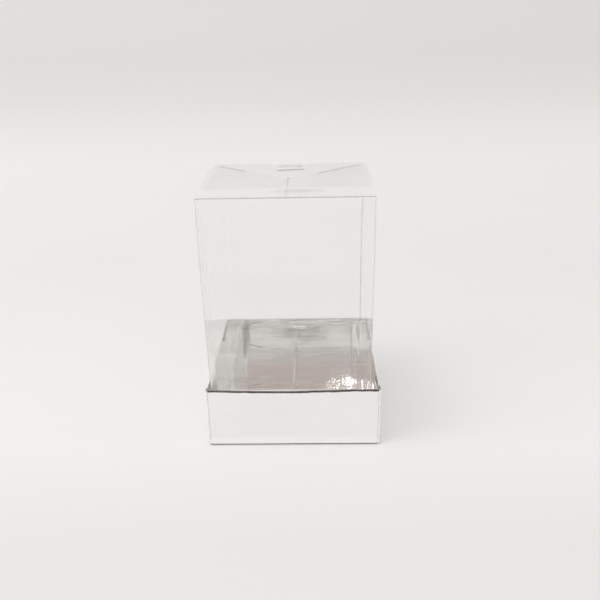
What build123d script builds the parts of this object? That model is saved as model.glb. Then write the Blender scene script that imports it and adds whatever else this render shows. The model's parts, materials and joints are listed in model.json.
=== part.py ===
from build123d import *
from math import asin, degrees
import os

# A clear film carton with a tucked flap at each end, standing loose in a shallow silver-lined card tray.
# Millimetres, +Z up, the front faces -Y, the origin is on the table under the middle of the tray.

# Carton, sizes over the outside of its folds
carton_width = 50.0
carton_depth = 50.0
carton_height = 75.0
film = 0.3  # thickness of the clear sheet
sleeve_fold_radius = 0.4  # inside radius of the four upright folds
layer_gap = 0.08  # air between two layers of film, and beside the round bead of a crease
glue_flap_width = 10.0
glue_flap_relief = 2.5  # the glue flap stops short of the sleeve's ends by this much

# Closing panels: the lid on top, and the bottom panel, which is the same blank turned over
lid_bow = 1.6  # the lid springs up in its middle
bottom_bow = 4.0  # the bottom panel springs down in its middle, and the carton stands on that curve
closure_side_inset = 0.3
tuck_length = 16.0
tuck_side_inset = 2.2  # from the carton's side to the side of the tuck flap
tuck_corner_radius = 7.0
tuck_gap = 0.25  # between the tuck fold and the panel that it slides behind
tuck_spare_lean = 1.2  # degrees of lean beyond what the flap needs to swing out with its panel

# Dust flaps, folded in from the sides under the lid and over the bottom panel
dust_straight_edge = 25.3  # the stretch where the two flaps of a pair meet
dust_end_relief = 1.1  # from the front and back panels to the flap's ends
dust_corner_radius = 1.2
dust_meeting_gap = 0.15

# Thumb notch in the edge of each panel that a tuck flap slides behind
notch_width = 12.0
notch_depth = 2.2

# Tray
tray_height = 19.8
board = 0.4
lining = 0.05  # bright metal skin on the inside of the board
board_fold_round = 0.75 * board
tab_length = 13.0
tab_taper = 2.5
tab_floor_gap = 0.4
left_play = 0.15  # the carton stands against the left-hand tabs
right_play = 1.85
front_play = 1.45
back_play = 1.45
seat_gap = 0.08  # under the curve that the carton stands on

# Carton, about its own middle
half_width = carton_width / 2
half_depth = carton_depth / 2
half_height = carton_height / 2
bead = film / 2  # radius of the round bead along a crease
side_end = half_height - film - layer_gap  # the side panels end under the lid
dust_middle = side_end - bead  # the dust flaps' mid-plane
dust_hinge = half_width - film - layer_gap - bead
lid_hinge_y = -half_depth
lid_middle = half_height - bead  # the lid's mid-plane at its two folds
tuck_hinge_y = half_depth - film - tuck_gap - bead
tuck_hinge_z = lid_middle - film - layer_gap
swing_radius = tuck_hinge_y - lid_hinge_y
tuck_lean = degrees(asin(tuck_length / (2 * swing_radius))) + tuck_spare_lean

# Tray, about the middle of its floor
wall_stack = board + lining  # a side wall and its lining
tab_stack = 2 * wall_stack  # the same with a lined corner tab glued inside it
tray_width = carton_width + left_play + right_play + 2 * tab_stack
tray_depth = carton_depth + front_play + back_play + 2 * wall_stack
half_tray_width = tray_width / 2
half_tray_depth = tray_depth / 2

# The carton's place in the tray
carton_middle = (
    (left_play - right_play) / 2,
    (front_play - back_play) / 2,
    wall_stack + seat_gap + bottom_bow + half_height,
)


def block(low, high):
    """A block between its lowest and its highest corner."""
    size = [b - a for a, b in zip(low, high)]
    return Pos(*low) * Box(*size, align=(Align.MIN, Align.MIN, Align.MIN))


def at_end(shape, end):
    """The carton is the same at both ends when it is turned over about X, so one end is drawn."""
    return shape if end == "top" else Rot(180, 0, 0) * shape


def in_place(shape):
    """A shape drawn about the carton's middle, moved to where the carton stands."""
    return Pos(*carton_middle) * shape


def sleeve_section():
    """Plan of the four panels as one ring with rounded folds."""
    outside = sleeve_fold_radius + film
    ring = RectangleRounded(carton_width, carton_depth, outside)
    return ring - RectangleRounded(carton_width - 2 * film, carton_depth - 2 * film, sleeve_fold_radius)


def sleeve_panel(side, low, high):
    """One panel of the sleeve, with half of the fold at each of its upright edges."""
    inner = 2 * (sleeve_fold_radius + film)
    outer = film
    x_out, y_out = half_width + outer, half_depth + outer
    x_in, y_in = half_width - inner, half_depth - inner
    corner_signs = {
        "front": ((-1, -1), (1, -1)),
        "right": ((1, -1), (1, 1)),
        "back": ((1, 1), (-1, 1)),
        "left": ((-1, 1), (-1, -1)),
    }
    (ax, ay), (bx, by) = corner_signs[side]
    # the mitre leaves each corner of the ring on its diagonal
    region = Polygon(
        (ax * x_out, ay * y_out),
        (bx * x_out, by * y_out),
        (bx * x_in, by * y_in),
        (ax * x_in, ay * y_in),
        align=None,
    )
    return Pos(0, 0, low) * extrude(sleeve_section() & region, high - low)


def tuck_panel(side):
    """The front or back panel: a closing panel hinges on one end, a tuck flap slides behind the other."""
    hinge_end = half_height - film - layer_gap
    front = sleeve_panel("front", -half_height, hinge_end)
    notch = extrude(Plane.XZ * SlotOverall(notch_width, 2 * notch_depth), 2 * film, both=True)
    notched = front - Pos(0, -half_depth, -half_height) * notch
    return at_end(notched, "top" if side == "front" else "bottom")


def side_panel(side):
    """A left or right panel, short enough at both ends to leave room for its dust flaps' folds."""
    return sleeve_panel(side, -side_end, side_end)


def glue_flap():
    """The strip that joins the sleeve, glued inside the left panel from the front fold backwards."""
    front = -half_depth + film + sleeve_fold_radius
    half_length = side_end - glue_flap_relief
    x = -half_width + film
    outline = Plane.YZ * Polygon(
        (front, -half_length),
        (front + glue_flap_width, -half_length + glue_flap_relief),
        (front + glue_flap_width, half_length - glue_flap_relief),
        (front, half_length),
        align=None,
    )
    return Pos(x, 0, 0) * extrude(outline, film)


def closing_panel(bow):
    """The lid: a bowed sheet from its hinge on the front panel to its tuck fold inside the back panel."""
    middle_y = (lid_hinge_y + tuck_hinge_y) / 2
    bowed = ThreePointArc(
        (lid_hinge_y, lid_middle),
        (middle_y, lid_middle + bow),
        (tuck_hinge_y, lid_middle),
    )
    width = carton_width - 2 * closure_side_inset
    return extrude(Plane.YZ * SlotArc(bowed, film), width / 2, both=True)


def flap_with_bead(outline, root_length):
    """A flat flap drawn in XY with its root along X at Y 0, and the round bead of its crease there."""
    crease = Rot(0, 90, 0) * Cylinder(bead, root_length)
    return extrude(outline, bead, both=True) + crease


def tuck_flap():
    """Hangs from the lid's rear fold, leaning in from the back panel, with its free corners rounded."""
    width = carton_width - 2 * tuck_side_inset
    outline = Rectangle(width, tuck_length, align=(Align.CENTER, Align.MIN))
    outline = fillet(outline.vertices().group_by(Axis.Y)[-1], tuck_corner_radius)
    flap = flap_with_bead(outline, width)
    hanging = Rot(-90 - tuck_lean, 0, 0) * flap
    return Pos(0, tuck_hinge_y, tuck_hinge_z) * hanging


def dust_flap(side):
    """Folded in from a side panel: square on the lid's hinge side, bevelled beside the tuck flap."""
    reach = dust_hinge - dust_meeting_gap / 2
    root_end = half_depth - film - dust_end_relief
    straight_end = -root_end + dust_straight_edge
    outline = Polygon(
        (-root_end, 0),
        (root_end, 0),
        (straight_end, reach),
        (-root_end, reach),
        align=None,
    )
    outline = fillet(outline.vertices().group_by(Axis.Y)[-1], dust_corner_radius)
    flap = flap_with_bead(outline, 2 * root_end)
    # the outline's X runs from the lid's hinge to its tuck fold
    left = Pos(-dust_hinge, 0, dust_middle) * mirror(Rot(0, 0, 90) * flap, Plane.YZ)
    return left if side == "left" else mirror(left, Plane.YZ)


def tray_floor():
    x, y = half_tray_width - board, half_tray_depth - board
    return block((-x, -y, 0), (x, y, board))


def tray_end_wall(side):
    """The front or back wall, rounded where it folds up from the floor and round into its two tabs."""
    x = half_tray_width - wall_stack
    wall = block((-x, -half_tray_depth, 0), (x, -half_tray_depth + board, tray_height))
    outside = wall.faces().sort_by(Axis.Y)[0]
    wall = fillet(outside.edges().sort_by(Axis.Z)[:-1], board_fold_round)
    return wall if side == "front" else Rot(0, 0, 180) * wall


def tray_side_wall(side):
    """A side wall runs the whole depth and ends in raw edges outside the tabs."""
    x = half_tray_width
    wall = block((x - board, -half_tray_depth, 0), (x, half_tray_depth, tray_height))
    outside = wall.faces().sort_by(Axis.X)[-1]
    wall = fillet(outside.edges().sort_by(Axis.Z)[:1], board_fold_round)
    return wall if side == "right" else Rot(0, 0, 180) * wall


def corner_tab(x, start, thickness):
    """A tapered tab from the front wall back along the right-hand side wall."""
    low = wall_stack + tab_floor_gap
    end = -half_tray_depth + board + tab_length
    outline = Plane.YZ * Polygon(
        (start, low),
        (end, low + tab_taper),
        (end, tray_height - tab_taper),
        (start, tray_height),
        align=None,
    )
    return Pos(x, 0, 0) * extrude(outline, thickness)


def at_corner(shape, end, side):
    """A shape drawn at the front right corner, moved to another corner."""
    shape = shape if side == "right" else mirror(shape, Plane.YZ)
    return shape if end == "front" else mirror(shape, Plane.XZ)


def tray_tab(end, side):
    x = half_tray_width - wall_stack - board
    return at_corner(corner_tab(x, -half_tray_depth + board, board), end, side)


def silver_lining():
    """The bright skin on every inside face of the board: the floor, the walls and the tabs."""
    x = half_tray_width - wall_stack
    y = half_tray_depth - board
    tab_face = x - board
    floor = block((-x, -y, board), (x, y, wall_stack))
    end = block((-tab_face, -y, wall_stack), (tab_face, -y + lining, tray_height))
    flank = block((x, -half_tray_depth, board), (x + lining, half_tray_depth, tray_height))
    tab = corner_tab(tab_face - lining, -y + lining, lining)
    skins = [floor, end, flank, mirror(end, Plane.XZ), mirror(flank, Plane.YZ)]
    skins += [at_corner(tab, e, s) for e in ("front", "back") for s in ("left", "right")]
    return Compound([skin.solid() for skin in skins])


pieces = {
    "tray_floor": tray_floor(),
    "silver_lining": silver_lining(),
    "glue_flap": in_place(glue_flap()),
}
for side in ("front", "back"):
    pieces[f"tray_{side}_wall"] = tray_end_wall(side)
    pieces[f"{side}_panel"] = in_place(tuck_panel(side))
for side in ("left", "right"):
    pieces[f"tray_{side}_wall"] = tray_side_wall(side)
    pieces[f"{side}_panel"] = in_place(side_panel(side))
    for end in ("front", "back"):
        pieces[f"tray_{end}_{side}_tab"] = tray_tab(end, side)
    for end in ("top", "bottom"):
        pieces[f"{end}_{side}_dust_flap"] = in_place(at_end(dust_flap(side), end))
for end, panel, bow in (("top", "lid", lid_bow), ("bottom", "bottom", bottom_bow)):
    pieces[f"{panel}_panel"] = in_place(at_end(closing_panel(bow), end))
    pieces[f"{panel}_tuck_flap"] = in_place(at_end(tuck_flap(), end))

os.makedirs("parts", exist_ok=True)
for name, piece in pieces.items():
    export_step(piece, f"parts/{name}.step")
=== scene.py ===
import json
from math import cos, pi, radians, sin, sqrt

import bmesh
import bpy
from mathutils import Matrix, Vector, noise

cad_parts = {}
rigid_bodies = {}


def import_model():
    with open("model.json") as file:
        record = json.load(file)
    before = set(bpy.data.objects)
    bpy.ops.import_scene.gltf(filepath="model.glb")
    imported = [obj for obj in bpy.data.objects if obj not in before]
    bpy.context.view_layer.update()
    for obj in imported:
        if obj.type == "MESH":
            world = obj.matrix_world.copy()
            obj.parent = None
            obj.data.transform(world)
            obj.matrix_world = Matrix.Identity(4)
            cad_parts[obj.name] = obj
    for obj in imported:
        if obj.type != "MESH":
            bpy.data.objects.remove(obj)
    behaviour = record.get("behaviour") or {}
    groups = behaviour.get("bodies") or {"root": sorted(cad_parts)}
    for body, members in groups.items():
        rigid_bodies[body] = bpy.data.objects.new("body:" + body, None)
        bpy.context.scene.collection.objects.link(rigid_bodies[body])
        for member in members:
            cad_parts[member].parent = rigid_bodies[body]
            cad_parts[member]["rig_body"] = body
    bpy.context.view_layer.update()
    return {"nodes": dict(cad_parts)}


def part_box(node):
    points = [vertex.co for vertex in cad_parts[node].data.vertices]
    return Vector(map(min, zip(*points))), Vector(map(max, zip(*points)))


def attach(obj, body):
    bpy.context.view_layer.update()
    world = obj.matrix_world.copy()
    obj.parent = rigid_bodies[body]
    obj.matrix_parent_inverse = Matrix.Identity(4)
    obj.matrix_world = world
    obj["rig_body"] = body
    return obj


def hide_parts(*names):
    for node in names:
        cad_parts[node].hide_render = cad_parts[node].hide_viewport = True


# A clear film carton in a silver-lined card tray. Metres, +Z up, the front faces -Y.
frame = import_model()
nodes = frame["nodes"]
scene = bpy.context.scene
MM = 0.001

# Camera, found from the tray's and the carton's corners in the photograph
IMAGE_SIZE = 600
SENSOR = 36.0
LENS = 40.41
PITCH = radians(22.19)
ROLL = radians(-1.2)
YAW = radians(-1.5)
CAMERA_AT = Vector((7.5, -207.74, 123.39)) * MM

# Tray: board and lining as in the solids, and what this tray's folds and rims do
BOARD = 0.4 * MM
LINING = 0.05 * MM
TRAY_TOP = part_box("tray_front_wall")[1].z
TRAY_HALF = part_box("tray_right_wall")[1].x
INNER_HALF = TRAY_HALF - BOARD
FOLD_ROUND = 0.3 * MM  # round of the upright corners
FOOT_ROUND = 0.32 * MM  # round of the folds along the foot
FOOT_LIFT = 0.14 * MM  # the folds along the foot stand this far off the table
BACK_RISE = 0.5 * MM  # the back wall's rim stands this far above the others
CRUMPLE_AT = Vector((15, 13, 0.4)) * MM  # a crumpled place in the silver floor
SCRATCH_FROM = Vector((-19.0, 26.4, 9.7)) * MM  # a scratch in the silver back wall
SCRATCH_TO = Vector((-13.2, 26.4, 8.0)) * MM
SHARP_TURN = radians(40)  # board and silver shade as one surface below this angle


# Node trees


def new_material(name):
    """A material with an empty node tree, and its output node."""
    material = bpy.data.materials.new(name)
    material.use_nodes = True
    tree = material.node_tree
    tree.nodes.clear()
    return material, tree, tree.nodes.new("ShaderNodeOutputMaterial")


def add(tree, kind, inputs=(), **settings):
    """A node with its settings, and its inputs set to values or linked from sockets."""
    made = tree.nodes.new("ShaderNode" + kind)
    for key, value in settings.items():
        setattr(made, key, value)
    for key, value in dict(inputs).items():
        if isinstance(value, bpy.types.NodeSocket):
            tree.links.new(value, made.inputs[key])
        else:
            made.inputs[key].default_value = value
    return made


def place_of(tree, stretch=(1, 1, 1)):
    """Metres in the piece's own frame, stretched along the axes."""
    where = add(tree, "TexCoord").outputs["Object"]
    return add(tree, "Mapping", {"Vector": where, "Scale": stretch}).outputs["Vector"]


def place_parts(tree):
    """Metres in the piece's own frame, as separate X, Y and Z."""
    return add(tree, "SeparateXYZ", {"Vector": place_of(tree)}).outputs


def grain(tree, scale, detail=2.0, roughness=0.5, stretch=(1, 1, 1)):
    """Noise with this many cells per metre."""
    where = place_of(tree, stretch)
    inputs = {"Vector": where, "Scale": scale, "Detail": detail, "Roughness": roughness}
    return add(tree, "TexNoise", inputs).outputs["Fac"]


def spread(tree, value, low, high, to_low=0.0, to_high=1.0):
    """A value moved from one range to another, held at its ends."""
    inputs = {"Value": value, "From Min": low, "From Max": high, "To Min": to_low, "To Max": to_high}
    return add(tree, "MapRange", inputs).outputs["Result"]


def maths(tree, operation, a, b):
    return add(tree, "Math", {0: a, 1: b}, operation=operation).outputs[0]


def tone(tree, value, dark, pale):
    """A colour between two, by a value from 0 to 1."""
    mix = add(tree, "Mix", data_type="RGBA")
    for key, given in {"Factor": value, "A": dark, "B": pale}.items():
        sockets = [s for s in mix.inputs if s.name == key and s.enabled]
        if isinstance(given, bpy.types.NodeSocket):
            tree.links.new(given, sockets[0])
        else:
            sockets[0].default_value = (*given, 1)
    return [s for s in mix.outputs if s.enabled][0]


def relief(tree, height, strength, depth, under=None):
    """A normal that follows a height, on top of another normal where one is given."""
    inputs = {"Height": height, "Strength": strength, "Distance": depth}
    if under is not None:
        inputs["Normal"] = under
    return add(tree, "Bump", inputs).outputs["Normal"]


# Materials

MIRRORED_HEAD_ON, MIRRORED_GRAZING = 0.028, 0.58  # what one face of the film mirrors
FILM_CLEAR = (0.9935, 0.9935, 0.992, 1)  # what one face of the film lets through
GLUE_WHITE = (0.96, 0.96, 0.95, 1)
GLUE_CLOUDED, GLUE_CLEAR = 0.85, 0.06  # cover of the glued film at the tray's rim and above it
SILVER_DARK, SILVER_PALE = (0.88, 0.875, 0.87), (0.92, 0.915, 0.91)
# painted light: paler silver for the side walls
SILVER_SIDE_PAINTED_LIGHT = (0.93, 0.927, 0.923)
# darker silver in the creases below the back rim: partly the pinched skin, partly painted shade
SILVER_PINCHED_AND_SHADED = (0.8, 0.79, 0.78)
SILVER_SCRATCHED = (0.4, 0.39, 0.38)


def mirror_share(tree):
    """What one face of clear film mirrors: little head on, much at a grazing angle."""
    facing = add(tree, "LayerWeight", {"Blend": 0.5}).outputs["Facing"]
    grazing = maths(tree, "POWER", facing, 5.0)
    return spread(tree, grazing, 0.0, 1.0, MIRRORED_HEAD_ON, MIRRORED_GRAZING)


def film_material():
    """Clear film: nearly all light passes, a little is mirrored, and faint scuffs dull it."""
    material, tree, output = new_material("clear_film")
    smears = grain(tree, 110.0, 3.0)
    dull = spread(tree, smears, 0.4, 0.7, 0.01, 0.05)
    through = add(tree, "BsdfTransparent", {"Color": FILM_CLEAR}).outputs[0]
    shine = add(tree, "BsdfGlossy", {"Color": (1, 1, 1, 1), "Roughness": dull}).outputs[0]
    clear = add(tree, "MixShader", {0: mirror_share(tree), 1: through, 2: shine}).outputs[0]
    # fine scuffs that scatter a little light
    rubbed = grain(tree, 900.0, 3.0, 0.6, (1, 0.25, 0.25))
    patches = spread(tree, grain(tree, 60.0), 0.45, 0.75)
    haze = maths(tree, "MULTIPLY", spread(tree, rubbed, 0.6, 0.8, 0.0, 0.05), patches)
    scatter = add(tree, "BsdfDiffuse", {"Color": (0.85, 0.85, 0.85, 1)}).outputs[0]
    film = add(tree, "MixShader", {0: haze, 1: clear, 2: scatter}).outputs[0]
    tree.links.new(film, output.inputs["Surface"])
    return material


def film_line_material(name, colour, low, high, tint):
    """A cut edge or a fold of the film: it covers from low to high, unevenly along its length."""
    material, tree, output = new_material(name)
    along = grain(tree, 260.0, 2.0)
    share = spread(tree, along, 0.3, 0.7, low, high)
    gloss = spread(tree, grain(tree, 800.0), 0.3, 0.7, 0.15, 0.4)
    through = add(tree, "BsdfTransparent", {"Color": (tint, tint, tint, 1)}).outputs[0]
    solid = add(tree, "BsdfPrincipled", {"Base Color": (*colour, 1), "Roughness": gloss}).outputs[0]
    line = add(tree, "MixShader", {0: share, 1: through, 2: solid}).outputs[0]
    tree.links.new(line, output.inputs["Surface"])
    return material


def glued_film_material():
    """Two sheets with glue between them: milky towards the foot, and lit from both sides."""
    material, tree, output = new_material("film_glued")
    height = place_parts(tree)["Z"]
    glued = spread(tree, height, TRAY_TOP, 1.4 * TRAY_TOP, GLUE_CLOUDED, GLUE_CLEAR)
    streaks = spread(tree, grain(tree, 90.0, 2.0), 0.3, 0.7, 0.85, 1.0)
    milky = maths(tree, "MULTIPLY", glued, streaks)
    through = add(tree, "BsdfTransparent", {"Color": (0.99, 0.99, 0.985, 1)}).outputs[0]
    near = add(tree, "BsdfDiffuse", {"Color": GLUE_WHITE}).outputs[0]
    far = add(tree, "BsdfTranslucent", {"Color": GLUE_WHITE}).outputs[0]
    scatter = add(tree, "MixShader", {0: 0.5, 1: near, 2: far}).outputs[0]
    sheet = add(tree, "MixShader", {0: milky, 1: through, 2: scatter}).outputs[0]
    tree.links.new(sheet, output.inputs["Surface"])
    return material


def board_material():
    """White coated board with a faint fibre and a soft sheen, a little paler at the foot as painted
    light bounced up from the table.
    """
    material, tree, output = new_material("white_board")
    clouds = spread(tree, grain(tree, 55.0, 3.0), 0.3, 0.7)
    colour = tone(tree, clouds, (0.765, 0.76, 0.752), (0.79, 0.786, 0.778))
    # painted light: the foot is paler, in place of light bounced up from the table
    above_painted_bounce = spread(tree, place_parts(tree)["Z"], 0.8 * MM, 3.5 * MM)
    colour = tone(tree, above_painted_bounce, (0.85, 0.845, 0.838), colour)
    fibres = grain(tree, 2200.0, 4.0, 0.65, (1, 1, 0.45))
    swell = grain(tree, 190.0, 2.0)
    fine = relief(tree, fibres, 0.16, 0.03 * MM)
    normal = relief(tree, swell, 0.2, 0.1 * MM, fine)
    sheen = spread(tree, grain(tree, 320.0), 0.3, 0.7, 0.42, 0.58)
    inputs = {"Base Color": colour, "Roughness": sheen, "Normal": normal}
    board = add(tree, "BsdfPrincipled", inputs).outputs[0]
    tree.links.new(board, output.inputs["Surface"])
    return material


def rough_edge_and_shade_material(name, dark, pale):
    """A rough surface, uneven in tone: the board's cut edge, the dark band at the rims, and the painted
    contact shadow along the foot.
    """
    material, tree, output = new_material(name)
    fibres = grain(tree, 1400.0, 3.0, 0.6)
    blotches = grain(tree, 330.0, 2.0)
    mixed = maths(tree, "MULTIPLY", fibres, blotches)
    colour = tone(tree, spread(tree, mixed, 0.14, 0.4), dark, pale)
    rough = spread(tree, fibres, 0.2, 0.8, 0.7, 0.95)
    normal = relief(tree, fibres, 0.5, 0.08 * MM)
    inputs = {"Base Color": colour, "Roughness": rough, "Normal": normal}
    edge = add(tree, "BsdfPrincipled", inputs).outputs[0]
    tree.links.new(edge, output.inputs["Surface"])
    return material


def scratch_share(tree, place):
    """1 along one deep scratch, and 0 beside it."""
    half = (SCRATCH_TO.x - SCRATCH_FROM.x) / 2
    slope = (SCRATCH_TO.z - SCRATCH_FROM.z) / (SCRATCH_TO.x - SCRATCH_FROM.x)
    level = maths(tree, "SUBTRACT", place["Z"], maths(tree, "MULTIPLY", place["X"], slope))
    off_line = maths(tree, "SUBTRACT", level, SCRATCH_FROM.z - slope * SCRATCH_FROM.x)
    off_middle = maths(tree, "SUBTRACT", place["X"], (SCRATCH_FROM.x + SCRATCH_TO.x) / 2)
    line = spread(tree, maths(tree, "ABSOLUTE", off_line, 0.0), 0.06 * MM, 0.3 * MM, 1.0, 0.0)
    reach = spread(tree, maths(tree, "ABSOLUTE", off_middle, 0.0), 0.8 * half, half, 1.0, 0.0)
    return maths(tree, "MULTIPLY", line, reach)


def silver_material():
    """Metallised skin: near a mirror, with a fine orange peel, rolled streaks and scratches."""
    material, tree, output = new_material("silver_lining")
    peel = grain(tree, 620.0, 2.0)
    streaks = grain(tree, 500.0, 3.0, 0.6, (0.12, 1, 1))
    scratches = spread(tree, grain(tree, 1500.0, 1.0, 0.5, (0.05, 1, 0.6)), 0.66, 0.74)
    worn = maths(tree, "MULTIPLY", scratches, spread(tree, grain(tree, 90.0), 0.5, 0.7))
    colour = tone(tree, spread(tree, streaks, 0.3, 0.7), SILVER_DARK, SILVER_PALE)
    # painted light: the side walls' silver is paler, so that they show brighter
    place = place_parts(tree)
    from_middle = maths(tree, "ABSOLUTE", place["X"], 0.0)
    on_side = maths(tree, "GREATER_THAN", from_middle, 0.95 * TRAY_HALF)
    colour = tone(tree, on_side, colour, SILVER_SIDE_PAINTED_LIGHT)
    # creases below the back rim, where the skin was pinched in folding; they are darker partly from the
    # pinched skin and partly as painted shade, in place of the dark that the wrinkles mirror
    on_back = maths(tree, "GREATER_THAN", place["Y"], 0.97 * TRAY_HALF)
    near_rim = spread(tree, place["Z"], 0.8 * TRAY_TOP, 0.94 * TRAY_TOP)
    near_rim = maths(tree, "MULTIPLY", near_rim, on_back)
    creases = spread(tree, grain(tree, 190.0, 3.0, 0.6, (0.45, 1, 4)), 0.46, 0.6)
    colour = tone(tree, maths(tree, "MULTIPLY", creases, near_rim), colour, SILVER_PINCHED_AND_SHADED)
    scratch = maths(tree, "MULTIPLY", scratch_share(tree, place), on_back)
    colour = tone(tree, scratch, colour, SILVER_SCRATCHED)
    rolled = spread(tree, streaks, 0.3, 0.7, 0.018, 0.045)
    dull = maths(tree, "ADD", rolled, maths(tree, "MULTIPLY", worn, 0.2))
    normal = relief(tree, peel, 0.08, 0.02 * MM)
    inputs = {"Base Color": colour, "Metallic": 1.0, "Roughness": dull, "Normal": normal}
    silver = add(tree, "BsdfPrincipled", inputs).outputs[0]
    tree.links.new(silver, output.inputs["Surface"])
    return material


film = film_material()
film_glued = glued_film_material()
# colour of each kind of line, the least and most it covers, and the tint of what passes
FILM_LINES = [
    film_line_material("film_cut_edge", (0.46, 0.46, 0.45), 0.16, 0.36, 0.95),
    film_line_material("film_dark_edge", (0.3, 0.3, 0.29), 0.7, 0.92, 0.86),
    film_line_material("film_fold", (0.74, 0.74, 0.73), 0.14, 0.32, 0.95),
    film_line_material("film_pale_edge", (0.9, 0.9, 0.89), 0.18, 0.4, 0.98),
    film_line_material("film_faint_line", (0.76, 0.76, 0.75), 0.004, 0.012, 0.995),
    film_line_material("film_crease", (0.36, 0.36, 0.35), 0.46, 0.72, 0.9),
]
FILM_FACE, FILM_EDGE, FILM_DARK, FILM_FOLD, FILM_PALE, FILM_FAINT, FILM_CREASE = range(7)
board = board_material()
# near black: the front rim, a band below it, and the side rims' front ends
dark_rim_band = rough_edge_and_shade_material("board_dark_rim_band", (0.025, 0.022, 0.02), (0.13, 0.11, 0.1))
raw_pale = rough_edge_and_shade_material("board_edge_pale", (0.72, 0.71, 0.7), (0.9, 0.895, 0.885))
# painted shadow: the round of the fold along the foot is near black, in place of the contact shadow
# under the tray
painted_foot_shadow = rough_edge_and_shade_material("board_painted_foot_shadow", (0.02, 0.018, 0.016), (0.1, 0.095, 0.09))
raw_grey = rough_edge_and_shade_material("board_edge_grey", (0.2, 0.19, 0.18), (0.5, 0.49, 0.475))
WALL_MATERIALS = [board, raw_pale, board, dark_rim_band, painted_foot_shadow]
OUTSIDE, RIM, INSIDE, RIM_DARK, FOOT_SHADOW = range(5)
silver = silver_material()


# Pieces


def mesh_of(bm, name):
    """A finished mesh."""
    mesh = bpy.data.meshes.new(name)
    bm.to_mesh(mesh)
    bm.free()
    return mesh


def finish_piece(name, mesh, materials, node):
    """Puts a new mesh in the scene in place of a solid, on that solid's body."""
    for material in materials:
        mesh.materials.append(material)
    piece = bpy.data.objects.new(name, mesh)
    scene.collection.objects.link(piece)
    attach(piece, nodes[node]["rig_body"])
    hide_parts(node)


def held(value):
    """A value held between 0 and 1."""
    return min(1.0, max(0.0, value))


def eased(share):
    """A share from 0 to 1 that starts and ends gently."""
    return share * share * (3 - 2 * share)


def bump_at(along, middle, reach):
    """A rounded hump, 1 at its middle and 0 beyond its reach."""
    share = max(0.0, 1.0 - ((along - middle) / reach) ** 2)
    return share * share


def wave(point, length, seed):
    """Smooth noise from about -1 to 1 with this wavelength."""
    return noise.noise(point / length + Vector((seed, 2.7 * seed, -1.3 * seed)))


# Film: the nodes, the sleeve's box, and the worked bands along edges and folds
UPRIGHT = ["front_panel", "back_panel", "left_panel", "right_panel"]
TOP_FLAPS = ["top_left_dust_flap", "top_right_dust_flap"]
BOTTOM_FLAPS = ["bottom_left_dust_flap", "bottom_right_dust_flap"]
TOP_NODES = ["glue_flap", "lid_panel", "lid_tuck_flap"]
BOTTOM_NODES = ["bottom_panel", "bottom_tuck_flap"]
FILM_NODES = UPRIGHT + TOP_FLAPS + TOP_NODES + BOTTOM_NODES + BOTTOM_FLAPS
LEFT_BOX, RIGHT_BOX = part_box("left_panel"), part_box("right_panel")
SLEEVE_LOW = Vector((LEFT_BOX[0].x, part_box("front_panel")[0].y, LEFT_BOX[0].z))
SLEEVE_HIGH = Vector((RIGHT_BOX[1].x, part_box("back_panel")[1].y, LEFT_BOX[1].z))
SLEEVE_MIDDLE = (SLEEVE_LOW.x + SLEEVE_HIGH.x) / 2
ALONG_X, ALONG_Y, ALONG_Z = Vector((1, 0, 0)), Vector((0, 1, 0)), Vector((0, 0, 1))
FILM_BAND = 0.2 * MM  # width of the worked band along a cut edge or a fold
LINE_LEAST = 2 * MM  # a straight edge of a sheet is at least this long
SHEET_TURN = 0.6  # a face within about 53 degrees of the sheet's own way is part of its broad side
BOW_TURN = radians(6)  # faces that turn less than this are one bowed surface
FLAT_TURN = radians(0.5)  # faces that turn less than this are one flat face
MITRE_LEVEL, MITRE_ALIKE = 0.1, 0.02  # a mitre's normal is this level, and halfway between X and Y
WELD, CUT_SNAP = 1e-6, 1e-7
FOLD_REACH = 0.9 * MM  # how far from an upright corner of the sleeve a band counts as its fold
EDGE_REACH = 1.2 * MM  # how far from an edge of a sheet a band counts as that edge
INWARD_LEAST = 1 * MM  # a panel's face looks inwards if its normal leads this far to the middle
FACES_UP = 0.9  # a face with this much of its normal upright lies flat
PANEL_CUTS = [height * MM for height in (19.8, 22, 30, 40, 50, 60, 64, 67, 70, 73, 76)]
CLOUDED_BELOW = 67 * MM  # the back right fold is clear above this height

# Thumb notch at the top of the back panel
NOTCH_HALF = 6.6 * MM
NOTCH_FLAT = 4.4 * MM  # half of its flat bottom
NOTCH_LOW = 77.33 * MM  # height of its bottom
NOTCH_TURN = 78.3 * MM  # height at which its corners are half round
NOTCH_FROM = 76.5 * MM  # only the film above this height is bent with the notch
NOTCH_SQUARE = 0.75  # how much of their round the corners lose
NOTCH_TILT = 0.03
NOTCH_BAND = 0.15 * MM  # the band below its bottom is this much wider

# Top dust flaps
MEETING_HALF = 11.4 * MM  # half the straight stretch where they meet
BEVEL_CLEAR = {-1: 14.5 * MM, 1: 9 * MM}  # their bevels are clear this far to each side of the middle
BEVEL_FROM = 1.5 * MM  # only the rear bevels show, behind this line
FLAP_HALF = SLEEVE_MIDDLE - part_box("top_left_dust_flap")[0].x  # from the middle to their hinge edges
HINGE_POWER = 12  # how suddenly the mouth's spread ends at their hinges

# The lid's rear fold, which sags over the thumb notch
SAG = 1.4 * MM
SAG_HALF = 6.5 * MM
SAG_FLANK = 2.3 * MM  # length of the slope at each end
SAG_DEPTH = 5 * MM  # how far the sag reaches from the fold
SAG_ROOM = 0.6 * MM  # the tuck flap stays this far clear of the sag when it swings
SAG_LIFT, SAG_LIFT_HALF = 0.15, 4.5 * MM  # its middle sags by this share less
SAG_COLUMNS, SAG_ROWS = 7, 5
EYE_HALF = 3.9 * MM  # the sagging fold shows dark this far from its middle

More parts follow.
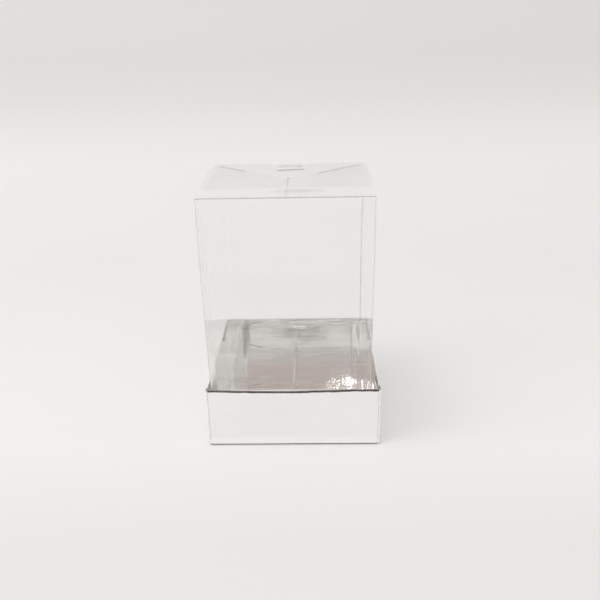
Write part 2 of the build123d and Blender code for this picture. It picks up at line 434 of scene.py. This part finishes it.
# Spread of the sleeve's mouth, as a share of its width, with the height where it starts and its rise
FRONT_SPREAD, FRONT_FROM, FRONT_OVER = 0.017, 22 * MM, 38 * MM
BACK_SPREAD, BACK_FROM, BACK_OVER = 0.04, 60 * MM, 18 * MM


def widest_normal(bm):
    """The way a sheet faces, from its largest face."""
    return max(bm.faces, key=lambda face: face.calc_area()).normal.copy()


def near_sleeve_corner(point):
    """True beside one of the sleeve's four upright folds."""
    in_x = min(abs(point.x - SLEEVE_LOW.x), abs(point.x - SLEEVE_HIGH.x)) < FOLD_REACH
    in_y = min(abs(point.y - SLEEVE_LOW.y), abs(point.y - SLEEVE_HIGH.y)) < FOLD_REACH
    return in_x and in_y


def upright_fold_kind(at):
    """How an upright fold of the sleeve shows: pale at the front below the tray's rim, as a painted
    highlight where the curved fold catches the light, and hardly at the back left.
    """
    if at.y < 0:
        # painted highlight along the front folds below the tray's rim
        return FILM_PALE if at.z < TRAY_TOP else FILM_FOLD
    if at.x > SLEEVE_MIDDLE and TRAY_TOP < at.z < CLOUDED_BELOW:
        return FILM_EDGE
    return FILM_FAINT


def panel_line_kind(node, at):
    """How an edge of an upright panel shows."""
    if near_sleeve_corner(at):
        return upright_fold_kind(at)
    by_notch = -EDGE_REACH < at.z - NOTCH_LOW < 0.4 * EDGE_REACH
    if node == "back_panel" and by_notch and abs(at.x - SLEEVE_MIDDLE) < NOTCH_HALF:
        return FILM_DARK
    if node in ("left_panel", "right_panel") and at.z < SLEEVE_LOW.z + EDGE_REACH:
        return FILM_PALE
    return FILM_FAINT


def lid_line_kind(at, normal):
    """How an edge of the lid shows: creased at the front fold, dark where the rear fold sags."""
    if at.y < SLEEVE_LOW.y + EDGE_REACH:
        return FILM_FAINT if normal.z > FACES_UP else FILM_CREASE
    sagging = at.y > SLEEVE_HIGH.y - EDGE_REACH and abs(at.x - SLEEVE_MIDDLE) < EYE_HALF
    return FILM_DARK if sagging and abs(normal.z) < FACES_UP else FILM_FAINT


def top_flap_line_kind(at, normal):
    """How an edge of a top dust flap shows: where the flaps meet, and along the rear bevels."""
    across = abs(at.x - SLEEVE_MIDDLE)
    if normal.z <= -0.5:
        return FILM_FAINT
    if across < EDGE_REACH and abs(at.y) < MEETING_HALF:
        return FILM_EDGE if normal.z > 0.5 else FILM_DARK
    clear = BEVEL_CLEAR[1 if at.x > SLEEVE_MIDDLE else -1]
    bevel = BEVEL_FROM < at.y and clear < across < SLEEVE_HIGH.y - 0.7 * EDGE_REACH
    return FILM_DARK if bevel else FILM_FAINT


def line_kind(node, at, normal):
    """How a cut edge or a fold of the film shows at a place."""
    if node in UPRIGHT:
        inward = normal.dot(Vector((at.x - SLEEVE_MIDDLE, at.y, 0))) < -INWARD_LEAST
        kind = panel_line_kind(node, at)
        return FILM_FAINT if inward and kind != FILM_DARK else kind
    if node == "lid_panel":
        return lid_line_kind(at, normal)
    if node in TOP_FLAPS:
        return top_flap_line_kind(at, normal)
    if node in BOTTOM_FLAPS and abs(at.x - SLEEVE_MIDDLE) < EDGE_REACH:
        return FILM_PALE
    return FILM_FAINT


def cut(bm, place, normal):
    """Cuts a sheet through by a plane."""
    geometry = bm.verts[:] + bm.edges[:] + bm.faces[:]
    bmesh.ops.bisect_plane(bm, geom=geometry, plane_co=place, plane_no=normal, dist=CUT_SNAP)


def cut_across(bm, axis, places):
    """Cuts a sheet across at places along an axis."""
    for place in places:
        cut(bm, axis * place, axis)


def cut_film(bm, node):
    """Divides a sheet where its lines change or where it bends."""
    sag_steps = [SAG_DEPTH * step / SAG_ROWS for step in range(1, SAG_ROWS + 1)]
    if node in UPRIGHT:
        cut_across(bm, ALONG_Z, PANEL_CUTS)
    if node == "back_panel":
        cut_across(bm, ALONG_X, [SLEEVE_MIDDLE - NOTCH_FLAT, SLEEVE_MIDDLE + NOTCH_FLAT])
    if node in TOP_FLAPS:
        cut_across(bm, ALONG_X, [SLEEVE_MIDDLE + sign * clear for sign, clear in BEVEL_CLEAR.items()])
    if node in ("lid_panel", "lid_tuck_flap"):
        columns = range(-SAG_COLUMNS, SAG_COLUMNS + 1)
        cut_across(bm, ALONG_X, [SLEEVE_MIDDLE + SAG_HALF * step / SAG_COLUMNS for step in columns])
    if node == "lid_panel":
        cut_across(bm, ALONG_Y, [SLEEVE_HIGH.y - step for step in sag_steps])
    if node == "lid_tuck_flap":
        cut_across(bm, ALONG_Z, [SLEEVE_HIGH.z - step for step in sag_steps])


def sag_at(node, at):
    """How far the lid or its tuck flap gives way over the thumb notch."""
    on_lid = node == "lid_panel"
    from_fold = SLEEVE_HIGH.y - at.y if on_lid else SLEEVE_HIGH.z - at.z
    share = held(1.0 - from_fold / SAG_DEPTH)
    flank = held((SAG_HALF - abs(at.x - SLEEVE_MIDDLE)) / SAG_FLANK)
    arch = 1 - SAG_LIFT * bump_at(at.x, SLEEVE_MIDDLE, SAG_LIFT_HALF)
    drop = SAG if on_lid else SAG + SAG_ROOM
    return drop * share * share * eased(flank) * arch


def notch_shift(at):
    """How far the thumb notch's outline moves up, to be squarer and a little tilted."""
    beyond = (at.z - NOTCH_TURN) / (SLEEVE_HIGH.z - NOTCH_TURN)
    fade = held(1 - beyond)
    turn = max(0.0, min(at.z, NOTCH_TURN) - NOTCH_LOW)
    shift = NOTCH_TILT * (at.x - SLEEVE_MIDDLE) * fade - NOTCH_SQUARE * turn * fade
    if at.z < NOTCH_LOW - 0.05 * MM:
        shift -= NOTCH_BAND
    return shift


def spread_at(node, at):
    """The share by which the sleeve's mouth spreads at a place; its flaps keep to their hinges."""
    front = FRONT_SPREAD * held((at.z - FRONT_FROM) / FRONT_OVER)
    back = BACK_SPREAD * held((at.z - BACK_FROM) / BACK_OVER)
    depth = (at.y - SLEEVE_LOW.y) / (SLEEVE_HIGH.y - SLEEVE_LOW.y)
    flare = front + (back - front) * depth
    if node in TOP_FLAPS:
        flare *= 1 - min(1.0, abs(at.x - SLEEVE_MIDDLE) / FLAP_HALF) ** HINGE_POWER
    return flare


def bend_film(bm, node):
    """Bends a sheet as the handled carton is bent."""
    for vert in bm.verts:
        at = vert.co.copy()
        across = at.x - SLEEVE_MIDDLE
        if node in ("lid_panel", "lid_tuck_flap"):
            vert.co.z -= sag_at(node, at)
        if node == "back_panel" and abs(across) < 1.3 * NOTCH_HALF and at.z > NOTCH_FROM:
            vert.co.z += notch_shift(at)
        vert.co.x += across * spread_at(node, at)


def is_broad(face, facing):
    """True on the two broad sides of a sheet, and not on a cut edge, the turn of a fold or a mitre."""
    normal = face.normal
    mitre = abs(normal.z) < MITRE_LEVEL and abs(abs(normal.x) - abs(normal.y)) < MITRE_ALIKE
    return abs(normal.dot(facing)) > SHEET_TURN and not mitre


def outlines_of(bm, facing):
    """For each broad side of a sheet, its straight edges: start, end and the way in from the edge."""
    outlines = ([], [])
    for edge in bm.edges:
        broad = [face for face in edge.link_faces if is_broad(face, facing)]
        if len(broad) != 1 or edge.calc_length() < LINE_LEAST:
            continue
        start, end = [vert.co.copy() for vert in edge.verts]
        inward = facing.cross(end - start).normalized()
        if inward.dot(broad[0].calc_center_median() - start) < 0:
            inward.negate()
        outlines[broad[0].normal.dot(facing) < 0].append((start, end, inward))
    return outlines


def cut_bands(bm, outlines):
    """Cuts a sheet beside its straight edges, once for edges in line with each other."""
    done = set()
    for start, _, inward in outlines[0] + outlines[1]:
        place = start + inward * FILM_BAND
        line = (*[round(part, 3) for part in inward], round(inward.dot(place) / MM, 2))
        if line not in done:
            done.add(line)
            cut(bm, place, inward)


def in_band(point, outline):
    """True in the worked band beside one of a side's straight edges."""
    for start, end, inward in outline:
        length = (end - start).length
        along = (end - start).dot(point - start) / length
        offset = inward.dot(point - start)
        if -FILM_BAND < along < length + FILM_BAND and -0.25 * FILM_BAND < offset < FILM_BAND:
            return True
    return False


def film_piece(node):
    """The solid's own sheet, with a worked band along each straight edge and fold on both sides."""
    bm = bmesh.new()
    bm.from_mesh(nodes[node].data)
    bmesh.ops.remove_doubles(bm, verts=bm.verts[:], dist=WELD)
    bmesh.ops.dissolve_limit(bm, angle_limit=FLAT_TURN, verts=bm.verts[:], edges=bm.edges[:])
    bm.normal_update()
    facing = widest_normal(bm)
    outlines = outlines_of(bm, facing)
    if node == "back_panel":
        ends = [Vector((SLEEVE_MIDDLE + sign * NOTCH_FLAT, 0, NOTCH_LOW)) for sign in (-1, 1)]
        for outline in outlines:
            outline.append((*ends, -ALONG_Z))
    cut_bands(bm, outlines)
    cut_film(bm, node)
    bm.normal_update()
    for face in bm.faces:
        middle = face.calc_center_median_weighted()
        side = outlines[face.normal.dot(facing) < 0]
        face.smooth = is_broad(face, facing) and not in_band(middle, side)
        face.material_index = FILM_FACE if face.smooth else line_kind(node, middle, face.normal)
    for edge in bm.edges:
        alike = all(face.smooth for face in edge.link_faces)
        edge.smooth = alike and edge.calc_face_angle(pi) < BOW_TURN
    bend_film(bm, node)
    mesh = mesh_of(bm, node + "_film")
    sheet = film_glued if node == "glue_flap" else film
    finish_piece(node + "_film", mesh, [sheet, *FILM_LINES], node)


for node in FILM_NODES:
    film_piece(node)


# Tray walls and floor
WALL_TURNS = {"front": 0, "right": 90, "back": 180, "left": 270}
ROUNDED = ("front", "back")  # walls whose ends fold round into the corner tabs
WALL_STEP = 0.6 * MM
WALL_ROWS = 8
ROUND_STEPS = 4
WAVE_APART = 7.0  # mm of noise between walls for each degree of turn, so that no two are alike
CRUSH = 0.05 * MM  # the rim's edges are crushed by this much
FRONT_DIP = 0.14 * MM  # the front rim lies lower, and bows down most left of its middle
FRONT_BOW, FRONT_BOW_AT, FRONT_BOW_HALF = 0.5 * MM, -4 * MM, 27 * MM
BACK_EVEN = 0.3  # the back rim is this much as uneven as the others
RAW_BAND, DARK_BAND_FRONT = 0.02 * MM, 0.34 * MM  # height of the band below a rim in the rim's colour: the raw edge, and the wider dark band at the front
DARK_BAND_RIGHT = 0.1 * MM  # growth of the front's dark band to the right end
DARK_CORNER = 2.2 * MM  # the side rims are dark this far from the front
FLOOR_CELLS = 36
FLAT_HALF = 17 * MM  # half the part of the floor that lies on the table


def wall_stations(half, rounded):
    """Places along a wall, closer together where its ends are rounded."""
    count = int(2 * half / WALL_STEP)
    inner = [-half + 2 * half * i / count for i in range(1, count)]
    if not rounded:
        return [-half, *inner, half]
    turns = [radians(90) * i / ROUND_STEPS for i in range(ROUND_STEPS + 1)]
    ends = [FOLD_ROUND * (1 - cos(turn)) for turn in turns]
    return [-half + e for e in ends] + inner[1:-1] + [half - e for e in reversed(ends)]


def rim_dip(side, x, at):
    """How far a wall's cut rim lies below the tray's top."""
    dip = 0.07 * MM * (1 + wave(at, 9 * MM, 3.1)) + 0.03 * MM * (1 + wave(at, 1.7 * MM, 5.2))
    if side == "front":
        dip += FRONT_DIP + FRONT_BOW * bump_at(x, FRONT_BOW_AT, FRONT_BOW_HALF)
    if side == "back":
        dip = BACK_EVEN * dip - BACK_RISE
    return dip


def rim_band(side, x, half, at):
    """Height of the band below a wall's rim that takes the rim's colour: the raw edge, and at the front
    a wider, uneven dark band.
    """
    if side != "front":
        return RAW_BAND
    band = DARK_BAND_FRONT + DARK_BAND_RIGHT * max(0.0, x / half)
    return band + 0.16 * MM * wave(at, 2.3 * MM, 1.7) + 0.06 * MM * wave(at, 0.9 * MM, 4.4)


def corner_inset(to_end):
    """How far a rounded corner draws a wall's face in, near the wall's end."""
    if to_end >= FOLD_ROUND:
        return 0.0
    return FOLD_ROUND - sqrt(max(0.0, FOLD_ROUND**2 - (FOLD_ROUND - to_end) ** 2))


def wall_profile(side, x, half):
    """A wall's section: distance from the tray's middle, height, and kind of the face that follows."""
    rounded = side in ROUNDED
    at = Vector((x, 0, WAVE_APART * WALL_TURNS[side] * MM))
    face = TRAY_HALF - corner_inset(half - abs(x)) if rounded else TRAY_HALF
    top = TRAY_TOP - rim_dip(side, x, at)
    foot = FOOT_LIFT + 0.05 * MM * wave(at, 11 * MM, 2.2)
    profile = []
    for i in range(ROUND_STEPS + 1):
        turn = radians(90) * i / ROUND_STEPS
        out = max(TRAY_HALF - FOOT_ROUND + FOOT_ROUND * sin(turn), INNER_HALF + 0.01 * MM)
        # the round of the foot fold carries the painted contact shadow
        kind = FOOT_SHADOW if i < ROUND_STEPS else OUTSIDE
        profile.append((out, foot + FOOT_ROUND * (1 - cos(turn)), kind))
    low = foot + FOOT_ROUND
    high = top - max(rim_band(side, x, half, at), 0.01 * MM) - CRUSH
    for i in range(1, WALL_ROWS + 1):
        profile.append((face, low + (high - low) * i / WALL_ROWS, OUTSIDE))
    to_front = x if side == "left" else -x
    dark_corner = not rounded and to_front > half - DARK_CORNER
    rim = RIM_DARK if side == "front" or dark_corner else RIM
    profile[-1] = (*profile[-1][:2], rim)
    profile += [(face, top - CRUSH, rim), (face - CRUSH, top, rim)]
    profile += [(INNER_HALF + CRUSH, top, INSIDE), (INNER_HALF, top - CRUSH, INSIDE)]
    for i in range(1, WALL_ROWS):
        profile.append((INNER_HALF, foot + (top - CRUSH - foot) * (1 - i / WALL_ROWS), INSIDE))
    profile.append((INNER_HALF, foot, INSIDE))
    return [(min(out, face), height, kind) for out, height, kind in profile]


def wall_piece(side):
    """A tray wall swept along its length: folded round at the foot, with an uneven cut rim."""
    node = f"tray_{side}_wall"
    half = INNER_HALF if side in ROUNDED else TRAY_HALF
    turn = Matrix.Rotation(radians(WALL_TURNS[side]), 4, "Z")
    bm = bmesh.new()
    rings = []
    for x in wall_stations(half, side in ROUNDED):
        profile = wall_profile(side, x, half)
        rings.append([(bm.verts.new(turn @ Vector((x, -out, z))), kind) for out, z, kind in profile])
    for ring, after in zip(rings, rings[1:]):
        for i, (vert, kind) in enumerate(ring):
            j = (i + 1) % len(ring)
            face = bm.faces.new((vert, ring[j][0], after[j][0], after[i][0]))
            face.material_index = kind
            face.smooth = True
    for ring in (rings[0][::-1], rings[-1]):
        cap = bm.faces.new([vert for vert, _ in ring])
        cap.material_index = RIM
    bmesh.ops.recalc_face_normals(bm, faces=bm.faces[:])
    mesh = mesh_of(bm, node + "_board")
    mesh.set_sharp_from_angle(angle=SHARP_TURN)
    finish_piece(node + "_board", mesh, WALL_MATERIALS, node)


def close_layers(bm, layers, cells_u, cells_v):
    """Faces over two grids of points, and round their rim."""
    row = cells_v + 1
    for layer in layers:
        for i in range(cells_u):
            for j in range(cells_v):
                k = i * row + j
                bm.faces.new((layer[k], layer[k + row], layer[k + row + 1], layer[k + 1]))
    border = list(range(row))
    border += [i * row + cells_v for i in range(1, cells_u + 1)]
    border += [cells_u * row + j for j in range(cells_v - 1, -1, -1)]
    border += [i * row for i in range(cells_u - 1, 0, -1)]
    for a, b in zip(border, border[1:] + border[:1]):
        bm.faces.new((layers[0][a], layers[0][b], layers[1][b], layers[1][a]))
    bmesh.ops.recalc_face_normals(bm, faces=bm.faces[:])


def floor_piece():
    """The tray's floor, flat on top, with an underside that draws up towards the folds round it."""
    places = [INNER_HALF * (2 * i / FLOOR_CELLS - 1) for i in range(FLOOR_CELLS + 1)]
    bm = bmesh.new()
    layers = ([], [])
    for x in places:
        for y in places:
            rise = max(0.0, (max(abs(x), abs(y)) - FLAT_HALF) / (INNER_HALF - FLAT_HALF))
            layers[0].append(bm.verts.new((x, y, BOARD)))
            layers[1].append(bm.verts.new((x, y, FOOT_LIFT * eased(rise))))
    close_layers(bm, layers, FLOOR_CELLS, FLOOR_CELLS)
    mesh = mesh_of(bm, "tray_floor_board")
    finish_piece("tray_floor_board", mesh, [board], "tray_floor")


for side in WALL_TURNS:
    wall_piece(side)
floor_piece()
for node in [f"tray_{end}_{side}_tab" for end in ("front", "back") for side in ("left", "right")]:
    for slot in nodes[node].material_slots:
        slot.material = raw_grey


# Silver skin: heights over its board
SKIN_MEAN, SKIN_LEAST, SKIN_BACK = 0.6 * LINING, 0.2 * LINING, 0.1 * LINING
PINCH_FROM = 0.78  # the back wall's skin is wrinkled above this share of the tray's height
CRUMPLE_HALF = 9 * MM
FINE_HALF = 8 * MM  # half the part of the floor that has a finer grid
RIM_GAP = 0.15 * MM  # the skin ends this far below the tray's top
TAB_TAPER = 2.5 * MM
TAB_CLEAR = 0.02 * MM
# steps of the grids
FLOOR_STEP = 0.8 * MM
FINE_STEP = 0.2 * MM
FRONT_STEP = 0.7 * MM
BACK_STEP = 0.4 * MM
FLANK_STEP = 0.7 * MM
TAB_STEP = 0.6 * MM
ROW_STEP = 0.6 * MM
BACK_ROW_STEP = 0.2 * MM
# dents below the back rim in mm: middle along x, half length, height, half width, depth
DENT_ROWS = [
    (1, 8, 17.5, 0.9, 0.07),
    (15, 6, 18.4, 0.6, 0.05),
    (17, 5, 17.1, 0.5, 0.04),
    (-15, 7, 18.2, 0.6, 0.03),
]
DENTS = [[size * MM for size in dent] for dent in DENT_ROWS]


def skin_height(point, normal):
    """How far the metallised skin stands off its board: soft waves, dents and a crumpled place."""
    height = SKIN_MEAN
    height += 0.011 * MM * wave(point, 8 * MM, 1.9) + 0.003 * MM * wave(point, 2.6 * MM, 6.1)
    if normal.y < -0.5 and point.y > 0:
        rise = max(0.0, (point.z / TRAY_TOP - PINCH_FROM) / (1 - PINCH_FROM))
        height += 0.06 * MM * rise * wave(Vector((point.x, 0, 6 * point.z)), 7 * MM, 9.3)
        for middle, reach, level, half_wide, depth in DENTS:
            height += depth * bump_at(point.x, middle, reach) * bump_at(point.z, level, half_wide)
    if normal.z > 0.5:
        crumple = bump_at((point - CRUMPLE_AT).length, 0, CRUMPLE_HALF)
        streaked = Vector((point.x, 0.3 * point.y, 0))
        folds = abs(wave(streaked, 1.1 * MM, 3.3)) + 0.6 * abs(wave(streaked, 0.5 * MM, 7.7))
        height += 0.05 * MM * crumple * folds
    return max(SKIN_LEAST, height)


def stations(low, high, step, fine_low=0.0, fine_high=0.0, fine_step=0.0):
    """Shares of the way from low to high, in steps that are finer between two places."""
    places = []
    at = low
    while at < high - 0.3 * step:
        places.append((at - low) / (high - low))
        at += fine_step if fine_low <= at < fine_high else step
    return [*places, 1.0]


def floor_stations(half, crumple):
    """Shares of the way across the floor, finer round the crumpled place."""
    return stations(-half, half, FLOOR_STEP, crumple - FINE_HALF, crumple + FINE_HALF, FINE_STEP)


def oblong(start, stop, low, high):
    """Corners of an upright face: along and up."""
    return [(start, low), (stop, low), (stop, high), (start, high)]


def skin(bm, corners, normal, shares_u, shares_v):
    """A thin sheet between four corners, raised by skin_height, closed at its back and rim."""
    layers = ([], [])
    for u in shares_u:
        for v in shares_v:
            point = corners[0].lerp(corners[1], u).lerp(corners[3].lerp(corners[2], u), v)
            layers[0].append(bm.verts.new(point + normal * skin_height(point, normal)))
            layers[1].append(bm.verts.new(point + normal * SKIN_BACK))
    close_layers(bm, layers, len(shares_u) - 1, len(shares_v) - 1)


def lining_piece():
    """The bright skin on the floor, the four walls and the four tabs."""
    x, y = INNER_HALF - LINING, INNER_HALF
    tab_x = x - BOARD
    low, top = BOARD + LINING, TRAY_TOP - RIM_GAP
    tab_from, tab_to = y - LINING, -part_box("tray_front_right_tab")[1].y
    tab_top = top - TAB_TAPER
    rows = stations(low, top, ROW_STEP)
    bm = bmesh.new()
    floor = [Vector((a, b, BOARD)) for a, b in oblong(-x, x, -y, y)]
    skin(bm, floor, ALONG_Z, floor_stations(x, CRUMPLE_AT.x), floor_stations(y, CRUMPLE_AT.y))
    for sign in (-1, 1):
        rim = top + BACK_RISE if sign > 0 else top
        columns = stations(-tab_x, tab_x, BACK_STEP if sign > 0 else FRONT_STEP)
        end_rows = stations(low, top, BACK_ROW_STEP) if sign > 0 else rows
        points = [Vector((a, sign * y, z)) for a, z in oblong(-tab_x, tab_x, low, rim)]
        skin(bm, points, -sign * ALONG_Y, columns, end_rows)
        points = [Vector((sign * (x + LINING), a, z)) for a, z in oblong(-y, y, low, top)]
        skin(bm, points, -sign * ALONG_X, stations(-y, y, FLANK_STEP), rows)
        for back in (-1, 1):
            tab = [(tab_from, low), (tab_to, low), (tab_to, tab_top), (tab_from, top)]
            points = [Vector((sign * tab_x, back * a, z)) for a, z in tab]
            skin(bm, points, -sign * ALONG_X, stations(tab_to, tab_from, TAB_STEP), rows)
            end = oblong(x, tab_x - LINING, low, tab_top)
            points = [Vector((sign * a, back * (tab_to - TAB_CLEAR), z)) for a, z in end]
            skin(bm, points, -back * ALONG_Y, [0, 0.5, 1], rows)
    for face in bm.faces:
        face.smooth = True
    mesh = mesh_of(bm, "silver_lining_skin")
    mesh.set_sharp_from_angle(angle=SHARP_TURN)
    finish_piece("silver_lining_skin", mesh, [silver], "silver_lining")


lining_piece()


# Floor, light and camera

CLIP_NEAR, CLIP_FAR = 0.01, 20
# the paper floor: distance behind the object where its curve starts, and the curve's radius
CURVE_FROM, CURVE_RADIUS, CURVE_STEPS = 1.0, 0.4, 24
FLOOR_START, FLOOR_NEAR, FLOOR_TOP, FLOOR_HALF = -2.0, 0.4, 0.45, 2.4
PAPER_DARK, PAPER_PALE = (0.803, 0.795, 0.788), (0.823, 0.816, 0.808)
# painted light and shade on the floor, towards the front and towards the back: where each begins and is
# full, and the colour. It is brighter close in front of the object and some way behind it, and darker
# further in front and up the far curve.
FRONT_PAINTED_LIGHT = [(0.0, 0.1, (0.848, 0.84, 0.833)), (-0.07, -0.03, (0.79, 0.783, 0.775))]
BACK_PAINTED_LIGHT = [
    (0.15, 0.45, (0.842, 0.834, 0.826)),
    (0.45, 1.0, (0.79, 0.782, 0.774)),
    (1.0, 1.22, (0.69, 0.68, 0.67)),
]
# the room's light to each side
LEFT_LIGHT, RIGHT_LIGHT, FRONT_LIGHT, BACK_LIGHT = 1.0, 0.86, 1.23, 0.78
# soft places in the room that the silver shows: image place, half width and height, strength
GLOW_AT, GLOW_SIZE, GLOW_LIGHT = (300, 334), (0.3, 0.036), 0.27
DARK_AT, DARK_SIZE, DARK_LIGHT = (300, 329), (0.034, 0.016), 0.35
DIM_AT, DIM_SIZE, DIM_LIGHT = (300, 371), (0.18, 0.042), 0.42
WARM_AT, WARM_SIZE = (290, 382), (0.12, 0.032)
ROOM_COLOUR, WARM_COLOUR = (1.0, 0.992, 0.98), (1.13, 0.9, 0.84)
KEY_AT, KEY_AIM, KEY_COLOUR = (-1.3, -0.5, 0.75), (0, 0, 0.03), (1.0, 0.995, 0.985)
KEY_SIZE, KEY_WATTS = 0.9, 6.0
CATCH_PIXEL, CATCH_AWAY, CATCH_AIM = (348, 383), 1.3, (0.0165, 0.041, 0)
CATCH_SIZE, CATCH_WATTS, CATCH_BEAM = 0.03, 2.2e-6, 1.4


def camera_axes():
    """The camera's right, up and forward, as unit vectors."""
    forward = Vector((sin(YAW) * cos(PITCH), cos(YAW) * cos(PITCH), -sin(PITCH)))
    right = Vector((cos(YAW), -sin(YAW), 0))
    up = right.cross(forward)
    rolled_right = cos(ROLL) * right + sin(ROLL) * up
    rolled_up = -sin(ROLL) * right + cos(ROLL) * up
    return rolled_right, rolled_up, forward


def sight(x, y):
    """The unit vector from the camera through a place in the image."""
    right, up, forward = camera_axes()
    focal = LENS / SENSOR * IMAGE_SIZE
    middle = IMAGE_SIZE / 2
    return (forward + right * ((x - middle) / focal) + up * ((middle - y) / focal)).normalized()


def add_camera():
    data = bpy.data.cameras.new("photo_camera")
    data.sensor_width = SENSOR
    data.lens = LENS
    data.clip_start = CLIP_NEAR
    data.clip_end = CLIP_FAR
    camera = bpy.data.objects.new("photo_camera", data)
    right, up, forward = camera_axes()
    turned = Matrix((right, up, -forward)).transposed().to_4x4()
    camera.matrix_world = Matrix.Translation(CAMERA_AT) @ turned
    scene.collection.objects.link(camera)
    scene.camera = camera


def paper_material():
    """Pale paper, a little uneven, with painted light and shade on the floor from near to far."""
    material, tree, output = new_material("paper_floor")
    clouds = spread(tree, grain(tree, 9.0, 3.0), 0.3, 0.7)
    colour = tone(tree, clouds, PAPER_DARK, PAPER_PALE)
    where = place_parts(tree)["Y"]
    # painted light and shade, in place of the light that falls on the floor
    for low, high, shade in FRONT_PAINTED_LIGHT:
        colour = tone(tree, spread(tree, where, low, high), shade, colour)
    for low, high, shade in BACK_PAINTED_LIGHT:
        colour = tone(tree, spread(tree, where, low, high), colour, shade)
    paper = add(tree, "BsdfPrincipled", {"Base Color": colour, "Roughness": 0.7}).outputs[0]
    tree.links.new(paper, output.inputs["Surface"])
    return material


def add_stage():
    """A pale floor that runs up in a wide curve behind the object."""
    line = [(FLOOR_START, 0.0), (-FLOOR_NEAR, 0.0), (FLOOR_NEAR, 0.0)]
    for i in range(CURVE_STEPS + 1):
        turn = radians(90) * i / CURVE_STEPS
        line.append((CURVE_FROM + CURVE_RADIUS * sin(turn), CURVE_RADIUS * (1 - cos(turn))))
    line.append((CURVE_FROM + CURVE_RADIUS, FLOOR_TOP))
    bm = bmesh.new()
    rows = [[bm.verts.new((x, y, z)) for x in (-FLOOR_HALF, FLOOR_HALF)] for y, z in line]
    for a, b in zip(rows, rows[1:]):
        bm.faces.new((a[0], a[1], b[1], b[0])).smooth = True
    mesh = mesh_of(bm, "paper_floor")
    mesh.materials.append(paper_material())
    floor = bpy.data.objects.new("paper_floor", mesh)
    scene.collection.objects.link(floor)


def add_lamp(name, at, aim, size, watts, colour=(1, 1, 1), beam=180):
    data = bpy.data.lights.new(name, "AREA")
    data.shape = "SQUARE"
    data.size = size
    data.energy = watts
    data.color = colour
    data.spread = radians(beam)
    lamp = bpy.data.objects.new(name, data)
    lamp.location = at
    lamp.rotation_euler = (Vector(aim) - Vector(at)).to_track_quat("-Z", "Y").to_euler()
    scene.collection.objects.link(lamp)


def mirrored(x, y):
    """The way in which the silver floor and back wall together send a sight line of the image."""
    way = sight(x, y)
    return Vector((way.x, -way.y, -way.z))


def thrice_mirrored(x, y):
    """The way in which the silver back wall, floor and front wall together send a sight line."""
    way = sight(x, y)
    return Vector((way.x, way.y, -way.z))


def world_spot(tree, way, half_space, middle, size):
    """1 in a soft oval of one half of the room, and 0 outside it."""
    half_wide, half_high = size
    offset = add(tree, "VectorMath", {0: way, 1: middle}, operation="SUBTRACT").outputs[0]
    shape = (1 / half_wide, 0, 1 / half_high)
    scaled = add(tree, "VectorMath", {0: offset, 1: shape}, operation="MULTIPLY").outputs[0]
    away = add(tree, "VectorMath", {0: scaled}, operation="LENGTH").outputs["Value"]
    return maths(tree, "MULTIPLY", spread(tree, away, 0.5, 1.5, 1.0, 0.0), half_space)


def add_world():
    """Soft light from all round, stronger from the left and the front, with a few soft places."""
    world = bpy.data.worlds.new("soft_room")
    scene.world = world
    world.use_nodes = True
    tree = world.node_tree
    tree.nodes.clear()
    way = add(tree, "TexCoord").outputs["Generated"]
    parts = add(tree, "SeparateXYZ", {"Vector": way}).outputs
    in_front = maths(tree, "LESS_THAN", parts["Y"], 0.0)
    behind = maths(tree, "GREATER_THAN", parts["Y"], 0.0)
    across = spread(tree, parts["X"], -1.0, 1.0, LEFT_LIGHT, RIGHT_LIGHT)
    forward = spread(tree, parts["Y"], -1.0, 1.0, FRONT_LIGHT, BACK_LIGHT)
    level = maths(tree, "MULTIPLY", across, forward)
    glow = world_spot(tree, way, behind, thrice_mirrored(*GLOW_AT), GLOW_SIZE)
    level = maths(tree, "ADD", level, maths(tree, "MULTIPLY", glow, GLOW_LIGHT))
    dark = world_spot(tree, way, behind, thrice_mirrored(*DARK_AT), DARK_SIZE)
    level = maths(tree, "MULTIPLY", level, spread(tree, dark, 0.0, 1.0, 1.0, DARK_LIGHT))
    dim = world_spot(tree, way, in_front, mirrored(*DIM_AT), DIM_SIZE)
    level = maths(tree, "MULTIPLY", level, spread(tree, dim, 0.0, 1.0, 1.0, DIM_LIGHT))
    warm = world_spot(tree, way, in_front, mirrored(*WARM_AT), WARM_SIZE)
    colour = tone(tree, warm, ROOM_COLOUR, WARM_COLOUR)
    light = add(tree, "Background", {"Color": colour, "Strength": level}).outputs[0]
    output = add(tree, "OutputWorld")
    tree.links.new(light, output.inputs["Surface"])


def add_lamps():
    """A soft key lamp, and a small catch light that the silver floor and back wall mirror into view."""
    add_lamp("key", KEY_AT, KEY_AIM, KEY_SIZE, KEY_WATTS, KEY_COLOUR)
    far = CAMERA_AT + sight(*CATCH_PIXEL) * CATCH_AWAY
    wall, floor = INNER_HALF - LINING, BOARD + LINING
    place = (far.x, 2 * wall - far.y, 2 * floor - far.z)
    add_lamp("catch", place, CATCH_AIM, CATCH_SIZE, CATCH_WATTS, beam=CATCH_BEAM)


add_camera()
add_stage()
add_world()
add_lamps()
scene.view_settings.view_transform = "Standard"
# light crosses many sheets of film, and the silver walls mirror each other many times over
scene.cycles.transparent_max_bounces = 32
scene.cycles.max_bounces = 24
scene.cycles.glossy_bounces = 16
